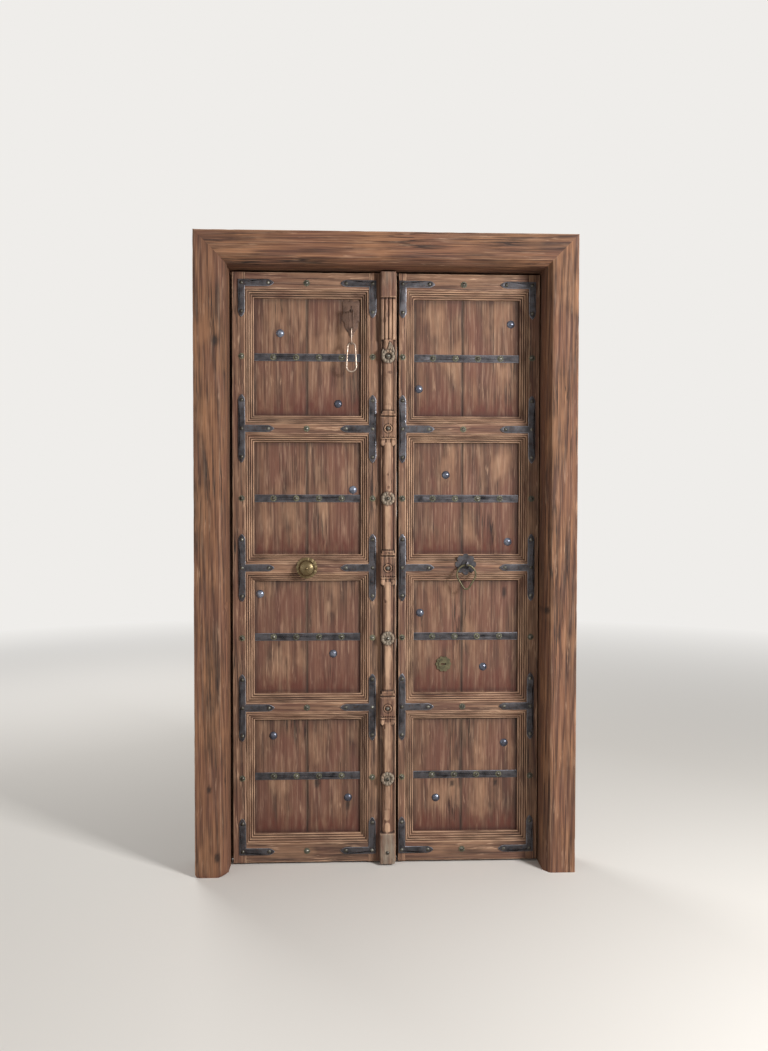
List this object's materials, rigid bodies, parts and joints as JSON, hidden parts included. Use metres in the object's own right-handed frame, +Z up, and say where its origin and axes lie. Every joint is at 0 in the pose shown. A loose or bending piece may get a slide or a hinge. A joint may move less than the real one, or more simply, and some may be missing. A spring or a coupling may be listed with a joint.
{
  "type": "double-leaf panelled wooden door",
  "caption": "Old double door in weathered timber: panelled leaves with iron straps and studs, a carved cover strip, knob, ring pull and latch chain, hung in a mitred frame.",
  "frame": {"origin": "on the floor, in the middle of the width and of the overall depth, which includes the hinge pins and bolt ends behind", "axes": "+Z up, front of the door towards -Y, +X to the right as seen from the front"},
  "size_m": [1.2958, 0.187, 2.173],
  "materials": {
    "frame_timber": "weathered reddish-brown timber, open long grain with small knots",
    "joinery_timber": "greyed brown old timber with pale worn ribs and scratches",
    "panel_boards": "old planks with streaky grain, knots and pale scratches",
    "backing_board": "plain sawn board",
    "carved_timber": "carved timber worn pale on its high parts",
    "strap_iron": "dark forged iron with worn lighter edges",
    "nail_iron": "forged iron, domed heads rubbed bluish grey",
    "washer_bronze": "greenish grey tarnished metal",
    "bright_hardware": "dull plated steel",
    "hinge_iron": "dark forged iron",
    "knob_brass": "tarnished cast brass",
    "chain_wire": "bent wire, bright where worn",
    "ring_iron": "dark forged iron, worn at the pull"
  },
  "bodies": {
    "frame": {"left_jamb": "frame_timber", "right_jamb": "frame_timber", "head": "frame_timber", "corner_tongues": "frame_timber", "frame_hinge_plates": "hinge_iron", "hinge_pins": "hinge_iron", "frame_hinge_screws": "hinge_iron"},
    "left_leaf": {"left_leaf_hanging_stile": "joinery_timber", "left_leaf_meeting_stile": "joinery_timber", "left_leaf_bottom_rail": "joinery_timber", "left_leaf_lower_rail": "joinery_timber", "left_leaf_middle_rail": "joinery_timber", "left_leaf_upper_rail": "joinery_timber", "left_leaf_top_rail": "joinery_timber", "left_leaf_outer_plank": "panel_boards", "left_leaf_inner_plank": "panel_boards", "left_leaf_backing": "backing_board", "left_leaf_hanging_straps": "strap_iron", "left_leaf_meeting_straps": "strap_iron", "left_leaf_panel_straps": "strap_iron", "chain_plate": "strap_iron", "left_leaf_nails": "nail_iron", "left_leaf_coach_bolts": "nail_iron", "cover_strip_nails": "nail_iron", "left_leaf_nail_washers": "washer_bronze", "left_leaf_bolt_washers": "bright_hardware", "left_leaf_nuts": "bright_hardware", "left_leaf_hinge_plates": "hinge_iron", "left_leaf_hinge_screws": "hinge_iron", "cover_strip": "carved_timber", "knob_rose": "knob_brass", "pull_knob": "knob_brass", "chain_staple": "chain_wire"},
    "right_leaf": {"right_leaf_hanging_stile": "joinery_timber", "right_leaf_meeting_stile": "joinery_timber", "right_leaf_bottom_rail": "joinery_timber", "right_leaf_lower_rail": "joinery_timber", "right_leaf_middle_rail": "joinery_timber", "right_leaf_upper_rail": "joinery_timber", "right_leaf_top_rail": "joinery_timber", "right_leaf_outer_plank": "panel_boards", "right_leaf_inner_plank": "panel_boards", "right_leaf_backing": "backing_board", "right_leaf_hanging_straps": "strap_iron", "right_leaf_meeting_straps": "strap_iron", "right_leaf_panel_straps": "strap_iron", "right_leaf_nails": "nail_iron", "right_leaf_coach_bolts": "nail_iron", "right_leaf_nail_washers": "washer_bronze", "right_leaf_bolt_washers": "bright_hardware", "right_leaf_nuts": "bright_hardware", "right_leaf_hinge_plates": "hinge_iron", "right_leaf_hinge_screws": "hinge_iron", "ring_boss": "ring_iron", "slot_rosette": "knob_brass"},
    "hook_link": {"hook_link": "chain_wire"},
    "oblong_link": {"oblong_link": "chain_wire"},
    "end_link": {"end_link": "chain_wire"},
    "pull_ring": {"pull_ring": "ring_iron"}
  },
  "joints": [
    {"name": "left_leaf_swing", "type": "hinge", "parent": "frame", "child": "left_leaf", "pos_m": [-0.55287, 0.08775, 0], "axis": [0, 0, 1], "range_deg": [0, 100]},
    {"name": "right_leaf_swing", "type": "hinge", "parent": "frame", "child": "right_leaf", "pos_m": [0.55287, 0.08775, 0], "axis": [0, 0, -1], "range_deg": [0, 100]},
    {"name": "hook_link_swing", "type": "hinge", "parent": "left_leaf", "child": "hook_link", "pos_m": [-0.11987, -0.00255, 1.93], "axis": [-1, 0, 0], "range_deg": [-3, 90]},
    {"name": "oblong_link_swing", "type": "hinge", "parent": "hook_link", "child": "oblong_link", "pos_m": [-0.11987, -0.00255, 1.8678], "axis": [0, 1, 0], "range_deg": [-20, 20]},
    {"name": "end_link_swing", "type": "hinge", "parent": "oblong_link", "child": "end_link", "pos_m": [-0.11987, -0.00255, 1.8152], "axis": [-1, 0, 0], "range_deg": [0, 60]},
    {"name": "pull_ring_swing", "type": "hinge", "parent": "right_leaf", "child": "pull_ring", "pos_m": [0.27987, -0.00255, 1.052], "axis": [-1, 0, 0], "range_deg": [-5, 90]}
  ]
}
